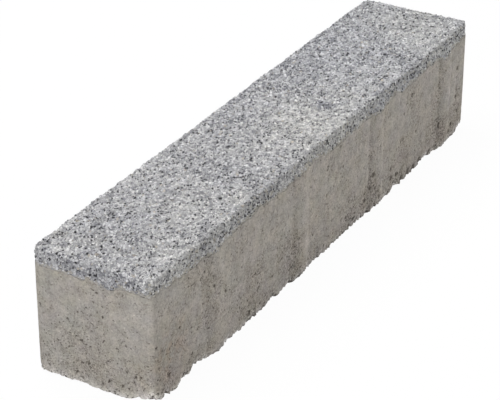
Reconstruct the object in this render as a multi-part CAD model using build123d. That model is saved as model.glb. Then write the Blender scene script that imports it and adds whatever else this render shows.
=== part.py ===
"""Concrete palisade block, lying on its long side with the granite face up.

A vibration-pressed block of two mixes, cast wet on wet: a core of plain grey concrete, and a thin
face of granite chippings on top of it. Shallow upright ribs on both long sides keep the joint open
between neighbouring blocks. X runs along the block, Z is up, and the origin is in the middle of the
underside.
"""

import os

from build123d import *

# Driving dimensions, in millimetres
length = 600.0  # end to end, along X
body_width = 118.0  # between the two long sides, along Y, without the ribs
height = 120.0  # underside to face, along Z
corner_radius = 8.0  # the four upright corners, seen from above
top_edge_radius = 3.0  # the worn arris all round the face
face_thickness = 16.0  # granite mix on top of the core mix
rib_height = 2.0  # how far a spacer rib stands out of its long side
rib_width = 30.0  # chord of a rib on its long side
rib_count = 4  # ribs on each long side
rib_pitch = 150.0  # from one rib's middle to the next
rib_shift = 21.5  # the row's distance from mid-length, so that neighbours' ribs pass each other
rib_top_gap = 10.0  # plain side between a rib's upper end and the face
rib_run_out = 4.0  # height over which a rib's upper end dies into the side
rib_root = 1.0  # how deep a rib is let into the block

# Worked out from the driving dimensions
face_bottom = height - face_thickness
rib_top = height - rib_top_gap
rib_radius = (rib_width**2 / 4 + rib_height**2) / (2 * rib_height)


def plain_block():
    """The rectangular block with rounded upright corners and a rounded arris round the face."""
    block = extrude(RectangleRounded(length, body_width, corner_radius), height)
    face_edges = block.faces().sort_by(Axis.Z)[-1].edges()
    return fillet(face_edges, top_edge_radius)


def spacer_rib():
    """One rib, standing on the underside's level, on a side that faces -Y and passes through the origin.

    It is a slice of an upright cylinder, and a slice of a cone carries its upper end back into the side.
    """
    shaft_height = rib_top - rib_run_out
    cone_fall = rib_height + rib_root
    cone_height = rib_run_out * cone_fall / rib_height
    on_floor = (Align.CENTER, Align.CENTER, Align.MIN)
    shaft = Cylinder(rib_radius, shaft_height, align=on_floor)
    cone = Cone(rib_radius, rib_radius - cone_fall, cone_height, align=on_floor)
    turned = shaft + Pos(0, 0, shaft_height) * cone
    turned = Pos(0, rib_radius - rib_height, 0) * turned
    slice_box = Box(rib_width, cone_fall, shaft_height + cone_height, align=on_floor)
    return turned & Pos(0, (rib_root - rib_height) / 2, 0) * slice_box


def rib_row():
    """The ribs of the side that faces -Y."""
    first = rib_shift - rib_pitch * (rib_count - 1) / 2
    rib = spacer_rib()
    return [Pos(first + i * rib_pitch, -body_width / 2, 0) * rib for i in range(rib_count)]


def whole_block():
    """The block with both rows of ribs. Turned end for end, it is the same block."""
    row = rib_row()
    other_row = [Rot(0, 0, 180) * rib for rib in row]
    return plain_block() + row + other_row


block = whole_block()
mix_boundary = Plane.XY.offset(face_bottom)
pieces = {
    "granite_face": split(block, bisect_by=mix_boundary, keep=Keep.TOP),
    "concrete_core": split(block, bisect_by=mix_boundary, keep=Keep.BOTTOM),
}

os.makedirs("parts", exist_ok=True)
for name, piece in pieces.items():
    export_step(piece, f"parts/{name}.step")
    print(name, "volume", round(piece.volume), "mm3")
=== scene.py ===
import math

import bpy
import numpy as np
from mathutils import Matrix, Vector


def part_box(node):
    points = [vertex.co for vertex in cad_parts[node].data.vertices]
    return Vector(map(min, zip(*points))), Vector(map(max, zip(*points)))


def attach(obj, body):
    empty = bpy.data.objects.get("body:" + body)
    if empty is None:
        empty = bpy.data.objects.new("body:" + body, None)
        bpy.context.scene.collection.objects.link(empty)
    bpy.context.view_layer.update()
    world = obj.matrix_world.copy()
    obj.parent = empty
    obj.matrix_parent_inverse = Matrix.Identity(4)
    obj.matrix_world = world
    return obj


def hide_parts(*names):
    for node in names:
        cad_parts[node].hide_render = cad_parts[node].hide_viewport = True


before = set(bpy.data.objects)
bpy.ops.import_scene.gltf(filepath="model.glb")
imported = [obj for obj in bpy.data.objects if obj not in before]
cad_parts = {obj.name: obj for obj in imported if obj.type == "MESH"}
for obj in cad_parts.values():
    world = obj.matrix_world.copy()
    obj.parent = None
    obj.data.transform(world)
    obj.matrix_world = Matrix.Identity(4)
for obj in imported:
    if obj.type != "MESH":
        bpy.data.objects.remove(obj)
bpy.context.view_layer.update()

# Concrete core
# Plain grey concrete, vibrated and pressed in a steel mould and pushed out of it while still damp.
# The mould leaves upright drag marks and spacer ribs; the edge round the underside crumbles as it lands.

mm = 0.001
core_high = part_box("concrete_core")[1]  # the upper corner of the core's box
rib_height = 2 * mm
half_length = core_high.x
half_width = core_high.y - rib_height
mix_height = core_high.z  # the level where the core meets the granite face
corner_radius = 8 * mm
rib_width = 30 * mm
rib_count = 4  # on each long side
rib_pitch = 150 * mm
rib_shift = 21.5 * mm  # the row's distance from mid-length
rib_top = 110 * mm
rib_run_out = 4 * mm  # height over which a rib's upper end dies into the side
rib_radius = (rib_width**2 / 4 + rib_height**2) / (2 * rib_height)
middle_reach = half_length - half_width  # half of the line where the two long sides' points meet
around = 1288  # points round the outline, an even number so that they pair up across the block


def plan_outline():
    """Points round the block's plan, and their outward directions.

    They walk evenly round the sharp rectangle from the middle of the +X end. Near a corner, each point
    is then pulled onto the corner's arc, along the line to the arc's middle.
    """
    a, b = half_length, half_width
    knots = np.cumsum([0, b, 2 * a, 2 * b, 2 * a, b])
    way = np.linspace(0, knots[-1], around, endpoint=False)
    x = np.interp(way, knots, [a, a, -a, -a, a, a])
    y = np.interp(way, knots, [0, b, b, -b, -b, 0])
    sharp = np.stack([x, y], -1)
    reach = np.array([a, b]) - corner_radius
    inner = np.clip(sharp, -reach, reach)
    outward = sharp - inner
    outward = outward / np.linalg.norm(outward, axis=-1, keepdims=True)
    return inner + corner_radius * outward, outward


outline, outward = plan_outline()
on_side = np.abs(outward[:, 1])  # 1 on the long sides, 0 on the ends


def rib_swell():
    """How far the ribs stand out at each outline point, and how near the point is to a rib's root.

    A rib is a slice of a circle. Four stand at an even pitch on the side that faces -Y, and the other
    side has the same row turned end for end. Of a rib's two roots, one is marked, with a soft edge.
    """
    row_end = (rib_count - 1) / 2
    root_place = 0.43 * rib_width
    root_run = 0.08 * rib_width
    along = -np.sign(outward[:, 1]) * outline[:, 0] - rib_shift
    crest = np.clip(np.floor(along / rib_pitch) + 0.5, -row_end, row_end) * rib_pitch
    circle = np.sqrt(np.maximum(rib_radius**2 - (along - crest) ** 2, 0)) - rib_radius + rib_height
    root = np.exp(-(((along - crest + root_place) / root_run) ** 2))
    on_flat = on_side > 0.99
    return on_flat * np.maximum(circle, 0), on_flat * root


swell, rib_root = rib_swell()


def cell_random(cells, seed):
    """A repeatable number from 0 to 1 for each cell of space, from its three whole coordinates.

    The coordinates are multiplied by large odd numbers and combined with exclusive-or, and two rounds of
    shifting and multiplying mix the bits.
    """
    whole = cells.astype(np.int64).astype(np.uint32)
    bits = whole[..., 0] * np.uint32(0x8DA6B343)
    bits = bits ^ (whole[..., 1] * np.uint32(0xD8163841))
    bits = bits ^ (whole[..., 2] * np.uint32(0xCB1AB31F))
    bits = bits ^ np.uint32(seed * 0x9E3779B1 % 2**32)
    bits = (bits ^ (bits >> np.uint32(15))) * np.uint32(0x2C1B3C6D)
    bits = (bits ^ (bits >> np.uint32(12))) * np.uint32(0x297A2D39)
    return (bits ^ (bits >> np.uint32(15))) / 2.0**32


def lumps(points, size, seed):
    """Smooth noise from 0 to 1 whose lumps are about as wide as size, which may differ along X, Y and Z.

    Each corner of a cell of that size has a random number. A point gets the mean of its cell's eight
    corners, weighted along each axis by a smooth step.
    """
    scaled = points / np.asarray(size)
    cell = np.floor(scaled)
    part = scaled - cell
    step = part * part * (3 - 2 * part)
    total = 0
    for corner in np.ndindex(2, 2, 2):
        weight = np.prod(np.where(corner, step, 1 - step), axis=-1)
        total = total + weight * cell_random(cell + corner, seed)
    return total


def grains(points, size, seed):
    """Distances to the two nearest grain middles, in grain sizes, and the nearest one's own random number.

    Each cell of that size holds one middle at a random place in it, and the 27 cells round a point are
    tried in turn.
    """
    scaled = points / size
    cell = np.floor(scaled)
    first = np.full(points.shape[:-1], np.inf)
    second = first
    own = np.zeros(points.shape[:-1])
    for step in np.ndindex(3, 3, 3):
        there = cell + step - 1
        place = [cell_random(there, seed + axis) for axis in range(3)]
        distance = np.linalg.norm(scaled - there - np.stack(place, -1), axis=-1)
        nearer = distance < first
        second = np.where(nearer, first, np.minimum(second, distance))
        own = np.where(nearer, cell_random(there, seed + 3), own)
        first = np.where(nearer, distance, first)
    return first, second, own


def smooth_step(value, low, high):
    """0 below low, 1 above high, and an S-shaped rise between them."""
    part = np.clip((value - low) / (high - low), 0, 1)
    return part * part * (3 - 2 * part)


def carried_round(inset, height, share, lean):
    """The grid of points, and their outward directions, of a profile that is carried round the block.

    A row of the grid is one ring round the block. A point starts on the outline, with its rib, moves in
    by its inset, and then goes its share of the way to the block's middle line. Lean is the angle of the
    outward direction above the horizontal.
    """
    rib = swell * np.clip((rib_top - height) / rib_run_out, 0, 1)
    plan = outline + outward * (rib - inset)[..., None]
    middle = outline * [1, 0]
    middle[:, 0] = np.clip(middle[:, 0], -middle_reach, middle_reach)
    plan = plan + (middle - plan) * share[..., None]
    level = np.cos(lean)[..., None] * outward
    points = np.concatenate([plan, height[..., None]], -1)
    return points, np.concatenate([level, np.sin(lean)[..., None]], -1)


def ring_mesh(name, points, **values):
    """A closed mesh of the grid, two triangles to a cell, with named values on its points.

    On the first and last ring, the points meet on the middle line: each is one with its partner across
    the block, and those of an end are all one. Triangles that this closes up are left out.
    """
    ring_count = len(points)
    number = np.arange(ring_count * around).reshape(ring_count, around)
    step = np.arange(around)
    meet = np.minimum(step, around - step)
    meet = np.where(outline[:, 0] > middle_reach, 0, meet)
    meet = np.where(outline[:, 0] < -middle_reach, around // 2, meet)
    number[0] = meet
    number[-1] = (ring_count - 1) * around + meet
    here, above = number[:-1], number[1:]
    here_next, above_next = np.roll(here, -1, 1), np.roll(above, -1, 1)
    lower = np.stack([here, here_next, above_next], -1)
    upper = np.stack([here, above_next, above], -1)
    faces = np.concatenate([lower.reshape(-1, 3), upper.reshape(-1, 3)])
    faces = faces[(faces != np.roll(faces, 1, 1)).all(1)]
    used, faces = np.unique(faces, return_inverse=True)
    faces = faces.reshape(-1, 3)
    mesh = bpy.data.meshes.new(name)
    mesh.vertices.add(len(used))
    mesh.vertices.foreach_set("co", points.reshape(-1, 3)[used].astype(np.float32).ravel())
    mesh.loops.add(faces.size)
    mesh.loops.foreach_set("vertex_index", faces.astype(np.int32).ravel())
    mesh.polygons.add(len(faces))
    mesh.polygons.foreach_set("loop_start", np.arange(0, faces.size, 3, dtype=np.int32))
    mesh.polygons.foreach_set("use_smooth", np.ones(len(faces), bool))
    mesh.update(calc_edges=True)
    for label, value in values.items():
        layer = mesh.attributes.new(label, "FLOAT", "POINT")
        layer.data.foreach_set("value", value.ravel()[used].astype(np.float32))
    piece = bpy.data.objects.new(name, mesh)
    bpy.context.scene.collection.objects.link(piece)
    return piece


def rings(*stretches):
    """The rings of a profile's stretches, one above the other, each value carried all the way round."""
    return np.concatenate([np.broadcast_to(stretch, (len(stretch), around)) for stretch in stretches])


def soft_patches(points, rows):
    """The sum of soft round patches. A row gives a patch's middle and run in millimetres, and its strength.

    A patch falls off from its middle as exp(-(distance / run)^2).
    """
    total = 0
    for x, y, z, run, strength in rows:
        distance = np.linalg.norm(points - np.array([x, y, z]) * mm, axis=-1)
        total = total + strength * np.exp(-((distance / (run * mm)) ** 2))
    return total


edge_points = np.concatenate([outline, np.zeros((around, 1))], -1)  # the outline on the floor

# The line between the two mixes: a row lifts it, or lowers it where its strength is below zero. Then come
# long waves, shorter ones, and steps the size of a chipping
mix_sag = 1.6 * mm  # how far the line lies below its level on the whole
line_rows = [
    (-300, -16, 0, 8, -2.8),
    (-300, -35, 0, 7, 1.8),
    (-299, -53, 0, 7, -2.0),
    (-300, 3, 0, 3, 3.5),
    (-288, -59, 0, 10, 2.3),
    (-205, -59, 0, 22, -3.3),
    (-128, -59, 0, 5, 4.5),
    (-38, -59, 0, 26, 3.8),
    (101, -59, 0, 14, -3.3),
    (135, -59, 0, 6, 4.0),
    (154, -59, 0, 6, -2.0),
    (208, -59, 0, 5, 3.0),
    (247, -59, 0, 11, -3.6),
    (292, -59, 0, 10, 2.5),
    (-210, 59, 0, 15, -3.0),
    (-60, 59, 0, 20, 3.0),
    (120, 59, 0, 18, -3.0),
]
mix_line = mix_height - mix_sag + mm * soft_patches(edge_points, line_rows)
for wave_height, wave_length, seed in [(1.6, 40, 11), (2.0, 11, 12), (2.8, 4, 13)]:
    mix_line = mix_line + wave_height * mm * (lumps(edge_points, wave_length * mm, seed) - 0.5)

# The broken bottom edge, by the height that has gone. A row is a bite out of it, or a stretch that held
# where its strength is below zero. Small teeth run all round
bite_rows = [
    (-301, -50, 0, 10.5, 6.2),
    (-300, -18, 0, 4, -1.0),
    (-300, -38, 0, 3, 1.3),
    (-300, -47, 0, 3, -1.3),
    (-300, -54, 0, 3, 1.6),
    (-299, -58, 0, 6, 4.0),
    (-282, -59, 0, 5, 4.2),
    (-274, -59, 0, 4, -1.5),
    (-266, -59, 0, 5, -2.5),
    (-255, -59, 0, 9, 2.8),
    (-257, -59, 0, 4, -1.0),
    (-234, -59, 0, 11, 6.2),
    (-217, -59, 0, 4, 1.0),
    (-196, -59, 0, 6, -1.1),
    (-145, -59, 0, 3, -1.2),
    (-132, -59, 0, 5, -2.5),
    (-103, -59, 0, 5, 2.8),
    (-76, -59, 0, 6, 1.2),
    (-63, -59, 0, 5, -1.2),
    (-30, -59, 0, 7, 1.2),
    (51, -59, 0, 7, -2.0),
    (96, -59, 0, 6, 1.9),
    (111, -59, 0, 5, -1.4),
    (140, -59, 0, 7, 2.2),
    (173, -59, 0, 7, 1.8),
    (206, -59, 0, 10, 3.6),
    (217, -59, 0, 6, 2.2),
    (238, -59, 0, 14, 1.0),
    (298, -57, 0, 12, 3.6),
    (300, -54, 0, 11, 7.5),
    (-300, 12, 0, 6, 2.0),
    (-300, 32, 0, 12, 0.9),
    (-300, 53, 0, 8, 0.6),
    (-120, 59, 0, 9, 5.0),
    (95, 59, 0, 7, 4.0),
    (230, 59, 0, 11, 6.0),
    (300, 10, 0, 8, 4.0),
]
bites = mm * soft_patches(edge_points, bite_rows) * (0.7 + 0.6 * lumps(edge_points, 3.5 * mm, 20))
tooth_height = 2.8 * mm
flake_own = grains(edge_points, 8 * mm, 20)[2]  # flakes that broke off, each with its own height
teeth = tooth_height * flake_own**3 + tooth_height * lumps(edge_points, 2.8 * mm, 24) ** 3
teeth = 0.2 * mm + teeth + 0.9 * mm * lumps(edge_points, 17 * mm, 21) ** 2
teeth = teeth * (0.42 + 0.53 * on_side)  # the ends broke less
least_crumble = 0.1 * mm
crumble = np.maximum(bites + teeth, least_crumble)
undercut = 2.2  # how far the break reaches in under the block, in heights of the break
crumble_depth = undercut * crumble

# The profile, from the middle of the underside, over its broken edge and up the side, to the hidden top
share_in = np.linspace(1, 0, 12)[:, None]
break_way = np.linspace(0, 1, 6)[1:, None]
side_way = np.insert(np.linspace(0, 1, 56)[1:] ** 1.15, 0, 0.003)[:, None]  # rings lie closer low down
bed_share = np.array([0, 1])[:, None]
bed_inset = 3 * mm  # the hidden top lies this far inside the outline
straight_up = math.pi / 2
break_lean = math.radians(60)
core_inset = rings(
    share_in * 0 + crumble_depth,
    (1 - break_way) * crumble_depth,
    side_way * 0,
    bed_share * 0 + bed_inset,
)
core_height = rings(
    share_in * 0,
    break_way * crumble,
    crumble + (mix_line - crumble) * side_way,
    bed_share * 0 + mix_height,
)
core_share = rings(share_in, break_way * 0, side_way * 0, bed_share)
core_lean = rings(
    share_in * 0 - straight_up,
    (break_way - 1) * break_lean,
    side_way * 0,
    bed_share * 0 + straight_up,
)
core_points, core_outward = carried_round(core_inset, core_height, core_share, core_lean)

# Where the concrete is open: in patches by the ribs, the bites and the corners, at random, and low down
open_rows = [
    (90, -59, 30, 11, 1.0),
    (88, -59, 10, 13, 1.2),
    (150, -59, 8, 10, 1.2),
    (68, -59, 6, 9, 1.0),
    (44, -59, 9, 9, 0.7),
    (234, -59, 62, 9, 0.3),
    (236, -59, 28, 11, 0.6),
    (236, -59, 8, 12, 0.6),
    (279, -59, 28, 13, 0.8),
    (278, -59, 52, 7, 0.7),
    (279, -59, 74, 7, 0.7),
    (-284, -59, 18, 15, 1.1),
    (-288, -59, 44, 10, 0.6),
    (-240, -59, 12, 11, 1.1),
    (-66, -59, 20, 12, 0.7),
    (-300, -18, 20, 14, 0.45),
    (-300, 26, 50, 14, 0.5),
    (-300, -30, 52, 10, 0.45),
    (-300, 10, 12, 12, 0.5),
    (-300, -38, 30, 12, 0.5),
    (-300, 40, 30, 10, 0.4),
    (-300, -5, 62, 12, 0.25),
    (200, -59, 15, 90, 0.25),
]
low_down = 1 - smooth_step(core_points[..., 2], 3 * mm, 18 * mm)
below_middle = 1 - smooth_step(core_points[..., 2], 8 * mm, 65 * mm)
open_share = 1.6 * (lumps(core_points, 22 * mm, 30) - 0.52)
open_share = open_share + 1.6 * low_down * (lumps(core_points, 9 * mm, 32) - 0.15)
open_patches = soft_patches(core_points, open_rows) * (0.4 + 0.9 * lumps(core_points, 6 * mm, 29))
open_share = open_share + open_patches
open_share = open_share + 0.25 * below_middle
# Open texture along one root of each rib: partly real, and partly painted shade along that root
open_share = open_share + 0.6 * rib_root * lumps(core_points, np.array([8, 8, 14]) * mm, 28)
open_share = np.clip(open_share, 0, 1)

# The larger pits, on the visible side and then on the near end
pit_rows = [
    (238, -59, 78, 2.5, 0.9),
    (278, -59, 75, 3.0, 1.0),
    (277, -59, 65, 2.5, 0.8),
    (277, -59, 44, 3.0, 1.0),
    (273, -59, 36, 2.5, 0.7),
    (282, -59, 26, 3.0, 0.8),
    (268, -59, 16, 3.0, 1.0),
    (262, -59, 10, 3.0, 0.8),
    (236, -59, 28, 3.0, 1.1),
    (243, -59, 30, 2.5, 1.1),
    (233, -59, 37, 2.5, 0.8),
    (184, -59, 44, 3.0, 0.8),
    (217, -59, 7, 3.0, 1.0),
    (194, -59, 7, 4.0, 1.3),
    (181, -59, 5, 4.0, 1.4),
    (169, -59, 6, 4.0, 1.3),
    (154, -59, 5, 3.5, 1.2),
    (-250, -59, 5, 3.0, 0.9),
    (142, -59, 15, 3.0, 1.0),
    (130, -59, 26, 2.5, 1.0),
    (131, -59, 16, 3.5, 1.1),
    (103, -59, 9, 3.5, 1.1),
    (89, -61, 39, 3.2, 1.1),
    (84, -60, 26, 3.0, 1.0),
    (93, -61, 23, 2.5, 0.8),
    (75, -59, 17, 3.0, 1.0),
    (51, -59, 8, 2.5, 1.1),
    (43, -59, 6, 2.5, 1.1),
    (25, -59, 19, 2.0, 0.8),
    (36, -59, 17, 3.0, 0.8),
    (45, -59, 16, 2.5, 0.7),
    (102, -61, 64, 2.0, 0.7),
    (-4, -59, 59, 2.5, 0.8),
    (-87, -59, 34, 2.5, 0.8),
    (-129, -59, 26, 2.5, 0.8),
    (-146, -59, 9, 3.5, 1.0),
    (-159, -59, 61, 2.0, 0.8),
    (-186, -59, 53, 2.5, 0.8),
    (-207, -61, 69, 2.0, 0.9),
    (-277, -59, 19, 2.5, 1.0),
    (-288, -59, 9, 2.2, 0.9),
    (-284, -59, 27, 2.0, 0.8),
    (-291, -59, 22, 2.0, 0.8),
    (-292, -59, 34, 2.2, 0.9),
    (-300, -27, 11, 1.8, 1.1),
    (-300, -14, 12, 1.6, 1.0),
    (-300, -33, 10, 1.6, 0.9),
    (-300, 13, 6, 2.1, 1.1),
    (-300, 18, 11, 1.4, 0.9),
    (-300, -7, 7, 1.6, 1.0),
    (-300, -20, 5, 1.4, 0.9),
    (-300, 46, 9, 1.6, 0.9),
    (-300, 4, 20, 1.6, 0.8),
    (-300, 0, 29, 1.6, 0.8),
    (-300, -24, 44, 1.6, 0.8),
    (-300, 15, 70, 1.8, 0.7),
    (-300, 26, 65, 1.6, 0.7),
]
large_pits = soft_patches(core_points, pit_rows) * (0.6 + 0.8 * lumps(core_points, 2.5 * mm, 33))

# How much of the sand and stone is missing: pits, broken edge, drag marks and unevenness, all inwards
pit_near, _, pit_own = grains(core_points, 6 * mm, 31)
pit_width = 0.12 + 0.18 * (pit_own * 37 % 1)  # the last digits of a pit's number give its width
pits = 1 - smooth_step(pit_near, 0.5 * pit_width, 1.3 * pit_width)
pits = (pit_own < 0.02 + 0.5 * open_share) * pits
pits = np.maximum(pits, smooth_step(large_pits, 0.2, 0.9))
pit_depth = 1.1 * mm
broken_reach = 6 * mm + mm * soft_patches(edge_points, [(298, -57, 0, 12, 26)])  # highest at the far corner
broken = (1 - smooth_step(core_points[..., 2], crumble, crumble + broken_reach)) * (core_lean <= 0)
rubble_near, rubble_next, rubble_own = grains(core_points, 4.5 * mm, 38)
rubble_gap = 1 - smooth_step(rubble_next - rubble_near, 0, 0.35)
rubble = (0.9 * rubble_gap + 0.6 * rubble_own) * mm * broken * (0.35 + 0.65 * on_side)
unevenness = 0.35 * mm * lumps(core_points, 55 * mm, 34) + 0.15 * mm * lumps(core_points, 14 * mm, 35)
drag = 0.12 * mm * lumps(core_points, np.array([3, 3, 90]) * mm, 36)
sand = (0.10 + 0.35 * open_share) * mm * lumps(core_points, 2.4 * mm, 37)
on_skin = core_share == 0
missing = unevenness + drag + sand + pit_depth * pits + rubble
core_points = core_points - core_outward * (missing * on_skin)[..., None]

# Painted shade: the pits and the gaps between the rubble of the broken edge are darkened, where shade falls
# in them
turn = np.abs(outward).prod(1) * 2  # 1 in the middle of an upright corner, 0 on the flat sides
rubble_gap_shade = broken * rubble_gap * (0.3 + 0.7 * open_share) * (0.2 + 0.8 * on_side) * (1 - 0.9 * turn)
pit = np.maximum(pits, rubble_gap_shade) * on_skin

# Paler where the skin is closed and rubbed, as at the upright corners, and darker towards the bottom
pale_rows = [
    (-300, -42, 84, 20, 0.09),
    (-300, -50, 20, 12, 0.05),
    (-300, 50, 14, 16, 0.05),
    (-298, -57, 5, 10, 0.2),
    (-46, -61, 26, 13, 0.09),
    (-300, 12, 66, 16, -0.02),
    (-280, -59, 60, 14, -0.07),
    (200, -59, 20, 70, -0.025),
]
# Darker towards the bottom: partly soil, and partly painted shade for the light that falls from above
soil_and_shade = 1 - smooth_step(core_points[..., 2], 10 * mm, 75 * mm)
pale = soft_patches(core_points, pale_rows) + 0.02 * turn + 0.034 * on_side
pale = pale - soil_and_shade * (0.01 + 0.06 * on_side)

# Brown stains on the visible side, over a faint brown cast on both long sides
brown_rows = [
    (163, -59, 38, 18, 0.24),
    (250, -59, 12, 16, 0.22),
    (205, -59, 14, 12, 0.20),
    (-208, -59, 8, 14, 0.26),
    (-268, -59, 6, 8, 0.24),
    (-262, -59, 62, 10, 0.18),
    (-166, -59, 8, 10, 0.20),
    (-20, -59, 40, 22, 0.10),
]
brown = (0.10 + 0.05 * soil_and_shade) * on_side + soft_patches(core_points, brown_rows)

# Pale dust and painted light on the lip of the broken edge, grain by grain on the long sides and more even
# on the ends
dust_and_light_rows = [
    (-298, -57, 4, 11, 0.3),
    (268, -59, 5, 14, 0.25),
]
# The painted light lifts the lip that faces down, as light from below would
lip = np.exp(-(((core_points[..., 2] - crumble) / (5 * mm)) ** 2)) * (core_lean <= 0)
side_dust_and_light = 0.52 * on_side * (0.1 + 1.8 * rubble_own)
end_dust_and_light = (1 - on_side) * (0.48 + 0.30 * rubble_own)
dust = side_dust_and_light + end_dust_and_light + 0.35 * turn + soft_patches(core_points, dust_and_light_rows)
dust = 1.13 * lip * dust
concrete_core = ring_mesh(
    "core_block", core_points, pit=pit, open=open_share, pale=pale, brown=brown, dust=dust
)


class Shade:
    """An output of a shader node that takes part in Python arithmetic: each operator adds one Math node."""

    def __init__(self, tree, output):
        self.tree = tree
        self.output = output

    def node(self, kind, settings, inputs, output=0):
        """Adds a node: first its settings, a ramp's stops among them, then each input's value or link."""
        made = self.tree.nodes.new(kind)
        for name, value in settings.items():
            if name == "stops":
                elements = made.color_ramp.elements
                while len(elements) < len(value):
                    elements.new(1)
                for element, (place, colour) in zip(elements, value):
                    element.position = place
                    element.color = (*colour, 1)
            else:
                setattr(made, name, value)
        for key, value in inputs.items():
            if isinstance(value, Shade):
                self.tree.links.new(value.output, made.inputs[key])
            else:
                made.inputs[key].default_value = value
        return Shade(self.tree, made.outputs[output])

    def maths(self, operation, first, second):
        """One Math node."""
        return self.node("ShaderNodeMath", {"operation": operation}, {0: first, 1: second})

    def __add__(self, other):
        return self.maths("ADD", self, other)

    def __sub__(self, other):
        return self.maths("SUBTRACT", self, other)

    def __mul__(self, other):
        return self.maths("MULTIPLY", self, other)

    def __truediv__(self, other):
        return self.maths("DIVIDE", self, other)

    def __lt__(self, other):
        return self.maths("LESS_THAN", self, other)

    def __gt__(self, other):
        return self.maths("GREATER_THAN", self, other)

    def __rsub__(self, other):
        return self.maths("SUBTRACT", other, self)

    __radd__ = __add__
    __rmul__ = __mul__

    def rise(self, low, high):
        """0 where this is below low, 1 where it is above high, and an S-shaped rise between."""
        settings = {"interpolation_type": "SMOOTHSTEP"}
        return self.node("ShaderNodeMapRange", settings, {"Value": self, "From Min": low, "From Max": high})

    def blend(self, first, second, kind="MIX"):
        """Colour first where this is 0 and second where it is 1, or second mixed over it in another way."""
        settings = {"data_type": "RGBA", "blend_type": kind}
        return self.node("ShaderNodeMix", settings, {0: self, 6: first, 7: second}, 2)

    def vector(self, operation, other, output=0):
        """One Vector Math node, with this as its first vector."""
        settings = {"operation": operation}
        return self.node("ShaderNodeVectorMath", settings, {0: self, 1: other}, output)

    def noise(self, size, detail=2.0, roughness=0.5, output="Fac"):
        """Cloudy noise on this place, with lumps of about that size in metres."""
        inputs = {"Vector": self, "Scale": 1 / size, "Detail": detail, "Roughness": roughness}
        return self.node("ShaderNodeTexNoise", {}, inputs, output)

    def shaken(self, size, reach):
        """This place moved by noise of that size, by up to half of reach, so that cells are irregular."""
        shake = self.noise(size, 1.0, output="Color").vector("SUBTRACT", (0.5, 0.5, 0.5))
        return self.vector("ADD", shake.vector("MULTIPLY", (reach, reach, reach)))

    def attribute(self, name):
        """A value that the mesh holds on its points."""
        return self.node("ShaderNodeAttribute", {"attribute_name": name}, {}, "Fac")

    def scaled(self, tone):
        """This colour, lighter or darker by tone."""
        level = tone.node("ShaderNodeCombineXYZ", {}, {0: tone, 1: tone, 2: tone})
        return self.vector("MULTIPLY", level)

    def cells(self, size, output="Distance", feature="F1"):
        """Cells round scattered middles, about that size in metres."""
        inputs = {"Vector": self, "Scale": 1 / size}
        return self.node("ShaderNodeTexVoronoi", {"feature": feature}, inputs, output)

    def part(self, output):
        """One of the three parts of this colour or vector."""
        return self.node("ShaderNodeSeparateXYZ", {}, {0: self}, output)


def new_material(name):
    """A new material, its shader to be filled in, and the place on the piece in metres."""
    material = bpy.data.materials.new(name)
    material.use_nodes = True
    tree = material.node_tree
    shader = tree.nodes["Principled BSDF"]
    place = Shade(tree, tree.nodes.new("ShaderNodeTexCoord").outputs["Object"])
    return material, shader, place


concrete_grey = (0.444, 0.419, 0.382, 1)
concrete_warm = (0.451, 0.420, 0.380, 1)
earth_brown = (0.41, 0.345, 0.285, 1)
# The pale colour of the broken edge's lip: dust, and painted light from below
dust_and_light_colour = (0.80, 0.765, 0.717, 1)
# The colour towards which painted shade in the concrete's holes, pits, seams and creases darkens
painted_shade_colour = (0.085, 0.072, 0.058, 1)
stain_middle = (-0.275, -0.059, 0.040)  # the stain by the near corner, in metres


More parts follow.
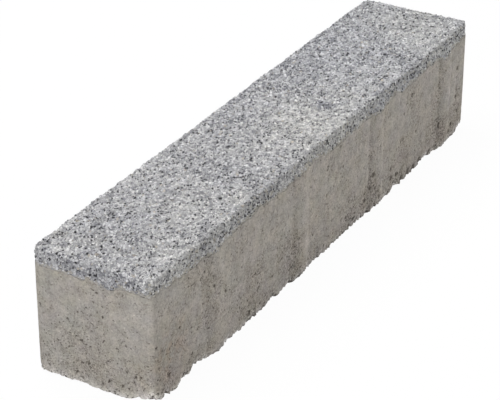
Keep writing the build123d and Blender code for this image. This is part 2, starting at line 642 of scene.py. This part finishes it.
def concrete_material():
    """Warm grey concrete with cloudy patches, sand, drag marks and brown stains, and painted shade in
    holes, pinholes, pits and fine creases.
    """
    material, shader, place = new_material("core_concrete")
    tree = material.node_tree
    open_texture = place.attribute("open")
    brown = place.attribute("brown")
    # Painted shade in the pits and in the gaps of the broken edge's rubble, a little broken up by noise
    pit_shade_mask = (place.attribute("pit") + 0.9 * (place.noise(1.3 * mm, 1.0) - 0.5)).rise(0.32, 0.72)
    shaken = place.shaken(2.2 * mm, 3.2 * mm)
    patches = place.noise(45 * mm, 2.0)
    mottle = place.noise(12 * mm, 4.0, 0.62)
    crust = place.noise(5 * mm, 3.0, 0.6).rise(0.50, 0.72)
    grit = place.noise(1.7 * mm, 3.0, 0.7)
    streaks = place.vector("MULTIPLY", (1, 1, 0.05)).noise(4 * mm, 2.0)
    hole_size = 4.4 * mm
    hole_own = shaken.cells(hole_size, "Color")
    hole_width = 0.09 + 0.22 * hole_own.part("Y")
    hole_reach = shaken.cells(hole_size) + 0.30 * (place.noise(1.2 * mm, 1.0) - 0.5)
    hole = (hole_reach / hole_width).rise(1.3, 0.5)
    hole = hole * (hole_own.part("X") < (0.04 + 0.5 * open_texture))
    pin_size = 1.7 * mm
    pin_own = shaken.cells(pin_size, "Color")
    pin = shaken.cells(pin_size).rise(0.48, 0.28)
    fleck = pin * (pin_own.part("Y") > 0.93)
    pin = pin * (pin_own.part("X") < (0.03 + 0.34 * open_texture + 0.14 * crust))
    tone = 1.0 + 0.16 * (patches - 0.5) + 0.75 * (mottle - 0.5) + 0.14 * (streaks - 0.5)
    tone = tone + (1.02 + 1.0 * open_texture + 1.5 * brown) * (grit - 0.5)
    tone = tone + place.attribute("pale") + 0.30 * fleck - 0.05 * open_texture - 0.11 * crust
    seam = place.shaken(6 * mm, 6 * mm).cells(11 * mm, "Distance", "DISTANCE_TO_EDGE").rise(0.06, 0.01)
    seam = seam * place.noise(8 * mm, 2.0).rise(0.48, 0.66)
    crease = place.noise(6 * mm, 2.0, 0.6) - 0.5
    crease = crease.maths("ABSOLUTE", crease, 0.0).rise(0.030, 0.008)
    crease = crease * place.noise(7 * mm, 2.0).rise(0.48, 0.62)
    # Painted shade: holes, pinholes, pits, seams and fine creases darken the colour towards a shade colour
    unbroken = (1 - 0.75 * hole) * (1 - 0.66 * pin) * (1 - 0.7 * pit_shade_mask)
    painted_shade = 1 - unbroken * (1 - 0.3 * seam) * (1 - 0.32 * crease)
    stain = place.vector("DISTANCE", stain_middle, "Value").rise(45 * mm, 5 * mm)
    stain = stain * mottle.rise(0.40, 0.60)
    warm = place.noise(30 * mm, 2.0).rise(0.35, 0.65)
    colour = warm.blend(concrete_grey, concrete_warm)
    earth = 0.75 * stain + 0.18 * open_texture + brown
    colour = earth.blend(colour, earth_brown)
    # The lip of the broken edge: pale dust, and painted light from below
    colour = place.attribute("dust").blend(colour, dust_and_light_colour)
    cast = place.noise(16 * mm, 3.0, 0.6, "Color").vector("MULTIPLY", (0.085, 0, 0.21))
    colour = colour.vector("MULTIPLY", cast.vector("ADD", (0.957, 1, 0.897)))
    colour = painted_shade.blend(colour.scaled(tone), painted_shade_colour)
    tree.links.new(colour.output, shader.inputs["Base Color"])
    shader.inputs["Roughness"].default_value = 0.9
    shader.inputs["Specular IOR Level"].default_value = 0.25
    relief = 0.7 * grit + 0.1 * streaks - 0.9 * hole - 0.5 * pin
    bump = relief.node("ShaderNodeBump", {}, {"Height": relief, "Distance": 1 * mm, "Strength": 1.0})
    tree.links.new(bump.output, shader.inputs["Normal"])
    return material


concrete_core.data.materials.append(concrete_material())
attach(concrete_core, "root")
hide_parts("concrete_core")

# Granite face
# A thin layer of crushed granite and white cement, pressed onto the wet core and blasted after it sets,
# so that the chippings stand out and the arris round the face is worn round.

face_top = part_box("granite_face")[1].z
arris = 2.4 * mm + 2.0 * mm * lumps(edge_points, 24 * mm, 41)  # its radius, all round
to_near_corner = np.linalg.norm(outline - np.array([-half_length, -half_width]), axis=-1)
arris = arris + 3.0 * mm * np.exp(-((to_near_corner / (30 * mm)) ** 2))  # most worn at the near corner

# The profile, from the hidden bed up the band and over the arris, to the middle of the face
bed_share_face = bed_share[::-1]
band_way = np.linspace(0, 1, 13)[:, None]
arris_turn = np.linspace(0, straight_up, 6)[1:, None]
share_on = np.linspace(0, 1, 51)[1:, None]
band_top = face_top - arris
face_inset = rings(
    bed_share_face * 0 + bed_inset,
    band_way * 0,
    (1 - np.cos(arris_turn)) * arris,
    share_on * 0 + arris,
)
face_height = rings(
    bed_share_face * 0 + mix_height,
    mix_line + (band_top - mix_line) * band_way,
    band_top + np.sin(arris_turn) * arris,
    share_on * 0 + face_top,
)
face_share = rings(bed_share_face, band_way * 0, arris_turn * 0, share_on)
face_lean = rings(
    bed_share_face * 0 - straight_up,
    band_way * 0,
    arris_turn,
    share_on * 0 + straight_up,
)
face_points, face_outward = carried_round(face_inset, face_height, face_share, face_lean)

# The chippings in relief, all inwards: gaps between them, and each at its own level
chip_near, chip_next, chip_own = grains(face_points, 3.2 * mm, 51)
chip_edge = smooth_step(chip_next - chip_near, 0, 0.5)
face_missing = 1.1 * mm * (1 - chip_edge) + 1.2 * mm * chip_own
face_missing = face_missing + 0.35 * mm * lumps(face_points, 2.0 * mm, 54)
face_missing = face_missing + 0.6 * mm * lumps(face_points, 8 * mm, 55) ** 2
face_missing = np.maximum(face_missing - 0.5 * mm, 0)  # the mould pressed the highest chippings level
seen = face_lean >= 0
above_line = smooth_step(face_points[..., 2] - mix_line, 0, 4 * mm)
face_missing = face_missing * (0.4 + 0.6 * above_line)  # the relief is weaker at the mix line
face_points = face_points - face_outward * (face_missing * seen)[..., None]
# Painted shade where the chippings lie deepest
recess = smooth_step(face_missing, 0.6 * mm, 1.8 * mm) * seen

# Bare chippings: none at the mix line and all of them a little higher, but some on the long sides keep a
# film of paste
on_band = np.cos(face_lean) ** 4 * seen
long_band = on_band * on_side
film = long_band * (0.02 + 0.5 * (lumps(face_points, np.array([5, 5, 30]) * mm, 57) - 0.5))
bare = smooth_step(face_points[..., 2] - mix_line, -1.0 * mm, 5.0 * mm) - np.maximum(film, 0)

# Paler and darker patches of the chippings, on the face and then on the band
face_pale_rows = [
    (15, -32, 120, 48, 0.17),
    (250, -40, 120, 42, 0.12),
    (160, 15, 120, 75, -0.07),
    (-255, -50, 120, 25, 0.06),
    (-110, -25, 120, 28, -0.08),
    (-175, -15, 120, 30, 0.05),
    (-250, 20, 120, 40, -0.04),
    (-278, 40, 120, 20, 0.06),
    (0, 48, 120, 40, -0.08),
    (110, 48, 120, 40, -0.04),
    (262, 5, 120, 34, 0.08),
    (-230, -48, 120, 45, 0.03),
    (-100, -48, 120, 45, 0.03),
    (120, -48, 120, 50, 0.05),
    (215, -48, 120, 25, 0.05),
    (-190, 5, 120, 30, 0.03),
    (53, -24, 120, 6, -0.75),
    (-269, 51, 120, 6, 0.14),
    (83, -33, 120, 9, 0.18),
    (-31, -48, 120, 10, 0.12),
    (-143, -46, 120, 15, 0.12),
    (-173, 20, 120, 12, -0.12),
    (-216, 7, 120, 12, -0.13),
    (-265, 18, 120, 10, 0.11),
    (297, -13, 119, 18, 0.14),
    (-299, -55, 107, 7, 0.12),
    (-300, -17, 105, 9, -0.09),
    (101, -60, 106, 14, -0.10),
    (247, -60, 106, 11, -0.06),
]
face_pale = soft_patches(face_points, face_pale_rows) - on_band * (0.10 - 0.09 * on_side)
granite_face = ring_mesh(
    "face_layer", face_points, recess=recess, pale=face_pale, bare=bare, band=on_band, long_band=long_band
)

feldspar_greys = [
    (0.00, (0.320, 0.321, 0.342)),
    (0.20, (0.480, 0.479, 0.495)),
    (0.50, (0.630, 0.624, 0.635)),
    (0.80, (0.747, 0.739, 0.746)),
    (1.00, (0.875, 0.863, 0.863)),
]
cream_feldspar = (0.66, 0.57, 0.44, 1)
grey_quartz = (0.219, 0.220, 0.239, 1)
black_mica = (0.034, 0.033, 0.037, 1)
cement_paste = (0.440, 0.415, 0.378, 1)


def granite_material():
    """Crushed granite: white and grey feldspar and quartz with black mica, in paler and darker patches.

    Paler patches are a little warmer and darker ones cooler, as is the far half of the face.
    """
    material, shader, place = new_material("face_granite")
    tree = material.node_tree
    pale = place.attribute("pale")
    lengthwise = place.vector("MULTIPLY", (0.85, 1, 1))
    shaken = lengthwise.shaken(1.8 * mm, 1.1 * mm)
    chip_size = 2.2 * mm
    chip = shaken.cells(chip_size, "Color")
    crevice = shaken.cells(chip_size, "Distance", "DISTANCE_TO_EDGE").rise(0.14, 0.0)
    patches = place.noise(40 * mm, 2.0) - 0.5
    band = place.attribute("band")
    mottle = (lengthwise.noise(7 * mm, 2.0) - 0.5) * (1 - 0.5 * band)
    long_band = place.attribute("long_band")
    mineral = chip.part("X") + 0.5 * patches + 0.7 * mottle + 1.3 * pale
    colour = mineral.node("ShaderNodeValToRGB", {"stops": feldspar_greys}, {"Fac": mineral})
    cream = chip.part("Y").rise(0.98, 0.99)
    colour = (0.5 * cream).blend(colour, cream_feldspar)
    quartz = chip.part("Z") < (0.08 - 0.5 * mottle)
    colour = (0.6 * quartz).blend(colour, grey_quartz)
    mica_size = 1.9 * mm
    mica_own = shaken.cells(mica_size, "Color")
    mica = shaken.cells(mica_size).rise(0.60, 0.44)
    mica_chance = 0.17 - 0.085 * band + 0.18 * long_band - 0.35 * patches - 0.75 * mottle - 0.3 * pale
    mica = mica * (mica_own.part("X") < mica_chance)
    flake_size = 3.3 * mm
    flake_own = shaken.cells(flake_size, "Color")
    flake = shaken.cells(flake_size).rise(0.46, 0.30)
    flake = flake * (flake_own.part("X") < (0.05 - 0.3 * mottle - 0.2 * pale))
    mica = mica.maths("MAXIMUM", mica, flake)
    colour = (0.97 * mica).blend(colour, black_mica)
    fine = place.noise(0.9 * mm, 2.0)
    paste = chip.part("Y") > place.attribute("bare")
    colour = (0.9 * paste).blend(colour, cement_paste)
    # Painted shade in the crevices between chippings and where they lie deepest, but not on the paste
    shade = (1 - 0.36 * crevice) * (1 - 0.15 * place.attribute("recess"))
    tone = (0.94 + 0.44 * fine) * (shade + paste * (1 - shade))
    colour = colour.scaled(tone)
    cast = place.noise(10 * mm, 2.0, 0.5, "Color").vector("MULTIPLY", (0, 0, 0.08))
    colour = colour.vector("MULTIPLY", cast.vector("ADD", (1, 1, 0.962)))
    tint = pale.rise(-0.12, 0.2).blend((0.995, 1, 1.016, 1), (1.004, 1, 0.972, 1))
    colour = colour.vector("MULTIPLY", tint)
    far_half = place.part("X").rise(-0.1, 0.25)
    colour = colour.vector("MULTIPLY", far_half.blend((1, 1, 1, 1), (0.99, 1, 1.012, 1)))
    colour = long_band.blend(colour, colour.vector("MULTIPLY", (1.003, 1, 0.975)))
    tree.links.new(colour.output, shader.inputs["Base Color"])
    shader.inputs["Roughness"].default_value = 0.8
    shader.inputs["Specular IOR Level"].default_value = 0.3
    from_middle = shaken.vector("SUBTRACT", shaken.cells(chip_size, "Position"))
    tilt = chip.vector("SUBTRACT", (0.5, 0.5, 0.5))
    facet = from_middle.vector("DOT_PRODUCT", tilt, "Value")
    relief = 1.15 * facet + mm * (0.2 * fine - 0.3 * crevice)
    bump = relief.node("ShaderNodeBump", {}, {"Height": relief, "Distance": 1.0, "Strength": 1.0})
    tree.links.new(bump.output, shader.inputs["Normal"])
    return material


granite_face.data.materials.append(granite_material())
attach(granite_face, "root")
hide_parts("granite_face")

# Studio: a matt white floor, a dim white sky, and softboxes above, at the left, in front and at the right.
# To the camera the sky is plain white, and so is the floor, but for a share of its real shading, so that
# the block keeps a soft shadow.

floor_size = 12.0
floor_mesh = bpy.data.meshes.new("floor")
floor_corners = floor_size * np.array([[-0.5, -0.5, 0], [0.5, -0.5, 0], [0.5, 0.5, 0], [-0.5, 0.5, 0]])
floor_mesh.from_pydata(floor_corners.tolist(), [], [(0, 1, 2, 3)])
floor = bpy.data.objects.new("floor", floor_mesh)
bpy.context.scene.collection.objects.link(floor)
floor_material, floor_shader, floor_place = new_material("floor_white")
floor_tree = floor_material.node_tree
floor_shader.inputs["Base Color"].default_value = (0.35, 0.35, 0.35, 1)
floor_shader.inputs["Roughness"].default_value = 1.0
floor_shader.inputs["Specular IOR Level"].default_value = 0.0
floor_seen = floor_place.node("ShaderNodeLightPath", {}, {}, "Is Camera Ray")
floor_glow = floor_place.node("ShaderNodeEmission", {}, {"Color": (1, 1, 1, 1), "Strength": 1.075})
floor_lit = Shade(floor_tree, floor_shader.outputs[0])
floor_mix = floor_place.node("ShaderNodeMixShader", {}, {0: 0.9 * floor_seen, 1: floor_lit, 2: floor_glow})
floor_tree.links.new(floor_mix.output, floor_tree.nodes["Material Output"].inputs["Surface"])
floor_mesh.materials.append(floor_material)

sky_level = 0.083
world = bpy.data.worlds.new("studio")
world.use_nodes = True
bpy.context.scene.world = world
sky_light = Shade(world.node_tree, world.node_tree.nodes["Background"].outputs[0])
world.node_tree.nodes["Background"].inputs["Color"].default_value = (1, 1, 1, 1)
world.node_tree.nodes["Background"].inputs["Strength"].default_value = sky_level
sky_seen = sky_light.node("ShaderNodeLightPath", {}, {}, "Is Camera Ray")
sky_mirrored = sky_light.node("ShaderNodeLightPath", {}, {}, "Is Glossy Ray")
sky_white = sky_light.node("ShaderNodeBackground", {}, {"Color": (1, 1, 1, 1), "Strength": 1.0})
sky_through = sky_light.node("ShaderNodeLightPath", {}, {}, "Is Transmission Ray")
sky_pick = sky_seen.maths("MAXIMUM", sky_seen, sky_mirrored)
sky_pick = sky_pick.maths("MAXIMUM", sky_pick, sky_through)
sky_mix = sky_light.node("ShaderNodeMixShader", {}, {0: sky_pick, 1: sky_light, 2: sky_white})
world.node_tree.links.new(sky_mix.output, world.node_tree.nodes["World Output"].inputs["Surface"])


def softbox(name, place, aim, width, light_level):
    """A square lamp at a place, turned to face aim, that lights a facing surface there to light_level.

    A flat lamp of power P lights a facing white surface at distance d to P / (pi d)^2.
    """
    lamp = bpy.data.lights.new(name, "AREA")
    lamp.size = width
    way = np.array(aim) - place
    distance = np.linalg.norm(way)
    lamp.energy = light_level * (math.pi * distance) ** 2
    holder = bpy.data.objects.new(name, lamp)
    holder.location = place
    level_way = math.hypot(way[0], way[1])
    holder.rotation_euler = (math.atan2(level_way, -way[2]), 0, math.atan2(-way[0], way[1]))
    bpy.context.scene.collection.objects.link(holder)


block_middle = (0, 0, 0.06)
softbox("top_softbox", (0, 0.8, 2.0), block_middle, 1.6, 0.958)
softbox("left_softbox", (-1.97, 0.17, 0.36), block_middle, 0.6, 0.36)
softbox("front_softbox", (-1.05, -1.69, 0.36), block_middle, 0.6, 0.235)
softbox("right_softbox", (3.59, -1.67, 0.66), block_middle, 1.2, 0.60)

# Camera
# A long lens that looks down on the near end and the long side, as the photograph does.

camera = bpy.data.cameras.new("camera")
camera.sensor_width = 36.0
camera.lens = 147.954
camera_holder = bpy.data.objects.new("camera", camera)
camera_holder.location = (-1.47193, -0.82104, 0.94658)
camera_azimuth = -60.1281
camera_elevation = 28.3453
camera_holder.rotation_euler = (math.radians(90 - camera_elevation), 0, math.radians(camera_azimuth))
bpy.context.scene.collection.objects.link(camera_holder)
bpy.context.scene.camera = camera_holder
bpy.context.scene.view_settings.view_transform = "Standard"
